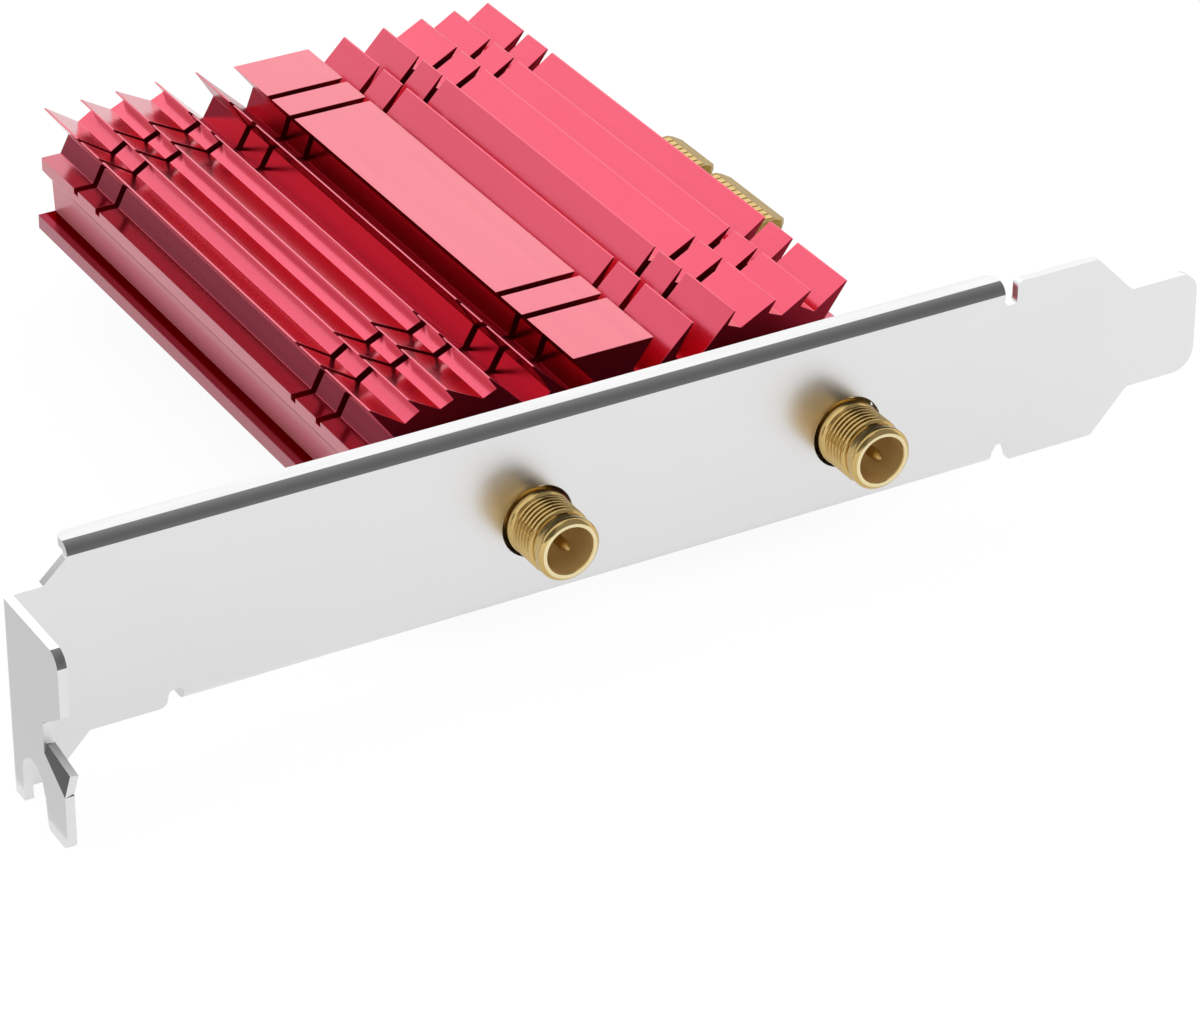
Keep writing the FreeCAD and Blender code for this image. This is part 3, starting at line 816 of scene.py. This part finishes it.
for side, centre in JACKS.items():
    posts = [leg(centre + Vector((x, y, 0)) * MM, BOARD_TOP + 0.5 * MM) for x, y in POST_PLACES]
    shell = joined(turned_barrel(centre), thread_bar(centre), cast_base(centre), *posts)
    add_piece("antenna_jack_" + side, shell, GOLDS, ["jack_shell_" + side])

# %% [markdown]
# In the middle of each mouth stands the contact pin, which marks the reversed
# kind of antenna jack. It is turned too: a straight rod with a domed point. Its
# tail turns down through the board.

# %% Contact pins
PIN = [(0.0, -5.52), (0.1, -5.5), (0.2, -5.4), (0.42, -4.95), (0.47, -4.8), (0.47, 5.5), (0.0, 5.5)]
for side, centre in JACKS.items():
    tail = leg(centre + Vector((0, LEG_Y, 0)) * MM, centre.z - 0.2 * MM)
    pin = joined(spun(PIN, centre, 32, closed=False), tail)
    bmesh.ops.remove_doubles(pin, verts=pin.verts, dist=SEAM / 2)
    bmesh.ops.recalc_face_normals(pin, faces=pin.faces)
    add_piece("contact_pin_" + side, pin, [CONTACT_GOLD], ["jack_contact_" + side])

# %% [markdown]
# Screws, solder, tinned rings and closed holes are all round about an upright
# axis. Each is half an outline, spun about the frame's own Z axis, where the
# numbers are simple, and then set down in its place.

# %% Upright round pieces
def spun_upright(outline, steps):
    """Spins a (radius, height) outline, in millimetres, about the frame's Z axis."""
    work = bmesh.new()
    ring = [work.verts.new((r * MM, 0, z * MM)) for r, z in outline]
    edges = [work.edges.new(pair) for pair in zip(ring, ring[1:])]
    bmesh.ops.spin(work, geom=ring + edges, cent=(0, 0, 0), axis=(0, 0, 1), angle=math.tau,
                   steps=steps, use_merge=True)
    bmesh.ops.remove_doubles(work, verts=work.verts, dist=SEAM)
    return work


def set_down(work, place, level):
    """Moves a spun piece to its place and turns its faces outwards."""
    bmesh.ops.translate(work, vec=(place.x, place.y, level), verts=work.verts)
    bmesh.ops.recalc_face_normals(work, faces=work.faces)
    return work


# %% [markdown]
# Every screw has a low round head with a cross pressed into it. The head is a
# half outline spun round, and the cross is cut into its flat with four straight
# cuts each way and pushed down, a little narrower at its floor.

# %% Screws with pressed crosses
RAIL_OUT = 21.65
RAIL_SCREW_Y = (16.5, 74.0)
LUG_OUT = 7.6
LUG_Y = 6.6
LUG_SHEET = 0.86
SINK_SCREWS = [at(SINK_X + side * RAIL_OUT, y, 0) for side in (-1, 1) for y in RAIL_SCREW_Y]
LUG_SCREWS = [at(x + LUG_OUT, LUG_Y, 0) for x in JACK_X.values()]
SINK_SIZES = {"head_r": 2.1, "head_high": 1.3, "shank_r": 1.2, "tip": -5.57}
LUG_SIZES = {"head_r": 2.6, "head_high": 1.7, "shank_r": 1.45, "tip": -(BOARD_THICK + LUG_SHEET + 0.6)}
DOME = [(1, 0.45), (0.95, 0.68), (0.83, 0.88), (0.62, 1)]
CROSS_REACH = 0.46
CROSS_HALF = 0.12
CROSS_DEEP = 0.55
CROSS_FLOOR = 0.72
LEVEL = 1e-7


def press_cross(work, head_r, head_high):
    """Cuts a cross into the flat of a head and pushes it down."""
    arm = head_r * CROSS_REACH * MM
    half = head_r * CROSS_HALF * MM
    top = [f for f in work.faces if len(f.verts) > 8 and f.calc_center_median().z > 0]
    for axis in (Vector((1, 0, 0)), Vector((0, 1, 0))):
        for reach in (-arm, -half, half, arm):
            rim = list({e for f in top for e in f.edges}) + list({v for f in top for v in f.verts})
            bmesh.ops.bisect_plane(work, geom=top + rim, dist=1e-8, plane_co=axis * reach, plane_no=axis)
            top = [f for f in work.faces if abs(f.normal.z) > 0.999
                   and abs(f.calc_center_median().z - head_high * MM) < LEVEL]
    cross = []
    for face in top:
        middle = face.calc_center_median()
        near, far = sorted((abs(middle.x), abs(middle.y)))
        if near < half and far < arm:
            cross.append(face)
    sunk = bmesh.ops.extrude_face_region(work, geom=cross)
    floor = [v for v in sunk["geom"] if isinstance(v, bmesh.types.BMVert)]
    bmesh.ops.delete(work, geom=cross, context="FACES_ONLY")
    bmesh.ops.scale(work, vec=(CROSS_FLOOR, CROSS_FLOOR, 1), verts=floor)
    bmesh.ops.translate(work, vec=(0, 0, -head_high * CROSS_DEEP * MM), verts=floor)


def cross_head_screw(place, seat, facing, head_r, head_high, shank_r, tip):
    """One screw along Z: its seat in metres, its own sizes in millimetres, facing 1 or -1."""
    outline = [(shank_r - 0.2, tip), (shank_r, tip + 0.2), (shank_r, 0), (head_r - 0.08, 0), (head_r, 0.1)]
    outline += [(head_r * out, head_high * up) for out, up in DOME]
    work = spun_upright(outline, 40)
    bmesh.ops.holes_fill(work, edges=[e for e in work.edges if e.is_boundary], sides=0)
    press_cross(work, head_r, head_high)
    bmesh.ops.scale(work, vec=(1, 1, facing), verts=work.verts)
    return set_down(work, place, seat)


under = [cross_head_screw(place, BOARD_LOW, -1, **SINK_SIZES) for place in SINK_SCREWS]
upper = [cross_head_screw(place, BOARD_TOP, 1, **LUG_SIZES) for place in LUG_SCREWS]
add_piece("heatsink_screw_set", joined(*under), [SCREW_STEEL], ["heatsink_screws"])
add_piece("bracket_screw_pair", joined(*upper), [SCREW_STEEL], ["bracket_screws"])

# %% [markdown]
# Where a jack's posts and pin come through the board they are soldered. Solder
# climbs the metal in a hollow cone, so each joint is a curved outline spun round
# its post.

# %% Solder joints under the jacks
SOLDER = [(0, -0.8), (0.36, -0.78), (0.5, -0.74), (0.56, -0.6), (0.63, -0.42), (0.76, -0.24), (0.96, -0.1),
          (1.12, -0.02), (1.14, 0), (0, 0)]


def solder_cone(place, size):
    """A solder joint hanging from the board's underside round a post."""
    return set_down(spun_upright([(r * size, z) for r, z in SOLDER], 28), place, BOARD_LOW)


joints = []
for centre in JACKS.values():
    joints += [solder_cone(centre + Vector((x, y, 0)) * MM, 1.0) for x, y in POST_PLACES]
    joints.append(solder_cone(centre + Vector((0, LEG_Y, 0)) * MM, 0.86))
print("solder joints:", len(joints))
add_piece("jack_solder_joints", joined(*joints), [TINNED])

# %% [markdown]
# Copper under the green lacquer shows as a slightly raised, paler pattern. Each
# track is a line of corners widened to both sides and raised by a few hundredths
# of a millimetre. Where a track changes side there is a small plated hole, which
# the lacquer closes to a ring with a dimple.

# %% Tracks and closed holes
RAISED = 0.035
THIN_TRACK = 0.28
FEED_TRACK = 0.5
POWER_TRACK = 1.4
DIMPLE = [(0, 0.012), (0.13, 0.014), (0.2, 0.045), (0.3, 0.045), (0.34, 0)]


def track(corners, wide, level=BOARD_LOW, facing=-1):
    """A raised ribbon through (x, y) corners on one face of the board."""
    points = [at(x, y, 0).xy for x, y in corners]
    work = bmesh.new()
    pairs = []
    for i, point in enumerate(points):
        before = (point - points[i - 1]).normalized() if i else None
        after = (points[i + 1] - point).normalized() if i + 1 < len(points) else None
        first = before or after
        along = (first + (after or before)).normalized()
        across = Vector((-along.y, along.x))
        half = wide / 2 * MM / across.dot(Vector((-first.y, first.x)))
        pairs.append([work.verts.new((*(point + across * half * side), level)) for side in (-1, 1)])
    faces = [work.faces.new((a[0], b[0], b[1], a[1])) for a, b in zip(pairs, pairs[1:])]
    grown = bmesh.ops.extrude_face_region(work, geom=faces)
    tops = [v for v in grown["geom"] if isinstance(v, bmesh.types.BMVert)]
    bmesh.ops.translate(work, vec=(0, 0, facing * RAISED * MM), verts=tops)
    bmesh.ops.recalc_face_normals(work, faces=work.faces)
    return work


def closed_hole(x, y, level=BOARD_LOW, facing=-1):
    """A plated hole closed by the lacquer: a ring with a dimple."""
    return set_down(spun_upright([(r, facing * z) for r, z in DIMPLE], 20), at(x, y, 0), level)


# %% [markdown]
# On the solder side thin tracks leave the contacts, lean over by half a right
# angle and run side by side to the radio. Two wider ones feed the jacks, fenced by
# holes, three wide ones carry the supply, and two rows of holes tie the ground
# under the shield. The upper side shows only the short tracks beside the tongue.

# %% Copper pattern
CONTACT_Y = [46.325 + k for k in (1, 2, 4, 5, 7, 8, 10)] + [59.875 + k for k in (0, 2, 3, 5)]
CONTACT_END = 96.6
MIDDLE_TRACK = 5
TRACK_PITCH = 1.1
FEED_FROM = 9.3
FEED_TURN = 20.0
FEED_TO = 29.0
GROUND_ROWS = (46.4, 82.0)
POWER_FROM = [(46.4, 58.5), (58.4, 61.0), (70.2, 60.2)]


def contact_tracks(i, y):
    """What leaves one contact on both faces of the board, each track with its hole."""
    end_y = 53.0 + TRACK_PITCH * (i - MIDDLE_TRACK)
    bend = 93.4 - TRACK_PITCH / 2 * abs(i - MIDDLE_TRACK)
    stop = 77.0 + 0.8 * (i % 2)
    top_stop = 91.1 + 0.9 * (i % 2)
    corners = [(CONTACT_END, y), (bend, y), (bend - abs(y - end_y), end_y), (stop, end_y)]
    return [track(corners, THIN_TRACK), closed_hole(stop, end_y),
            track([(CONTACT_END, y), (top_stop, y)], THIN_TRACK, BOARD_TOP, 1),
            closed_hole(top_stop, y, BOARD_TOP, 1)]


def jack_feed(x):
    """The track that feeds one jack, with a row of holes on either side."""
    lean = (SINK_X - x) * 0.35
    corners = [(x, FEED_FROM), (x, FEED_TURN), (x + lean, FEED_TURN + abs(lean)), (x + lean, FEED_TO)]
    fence = [closed_hole(x + side * 1.5, 10.8 + 1.6 * k) for side in (-1, 1) for k in range(6)]
    return [track(corners, FEED_TRACK)] + fence


def power_track(x, y):
    """A wide track for the supply, with the four holes it starts from."""
    corners = [(x, y), (x + 6.0, y), (x + 8.5, y + 2.5), (x + 8.5, y + 9.0)]
    return [track(corners, POWER_TRACK)] + [closed_hole(x + 0.6 + 1.5 * k, y - 1.6) for k in range(4)]


copper = []
for i, y in enumerate(CONTACT_Y):
    copper += contact_tracks(i, y)
for x in JACK_X.values():
    copper += jack_feed(x)
copper += [closed_hole(x, 30.0 + 2.6 * k) for k in range(9) for x in GROUND_ROWS]
for x, y in POWER_FROM:
    copper += power_track(x, y)
print("tracks and closed holes:", len(copper))
add_piece("copper_under_lacquer", joined(*copper), [MASK_ON_COPPER])

# %% [markdown]
# Round every screw the lacquer leaves a bare tinned ring, so that the head bites
# on metal and joins bracket and heatsink to the board's ground.

# %% Bare rings round the screws
def bare_ring(place, inner, outer, level, facing):
    """A thin tinned ring on one face of the board."""
    outline = [(inner, 0), (inner, facing * 0.03), (outer - 0.05, facing * 0.03), (outer, 0)]
    return set_down(spun_upright(outline, 48), place, level)


rings = [bare_ring(place, 1.36, 2.75, BOARD_LOW, -1) for place in SINK_SCREWS]
rings += [bare_ring(place, 1.62, 3.05, BOARD_TOP, 1) for place in LUG_SCREWS]
add_piece("bare_screw_rings", joined(*rings), [TINNED])
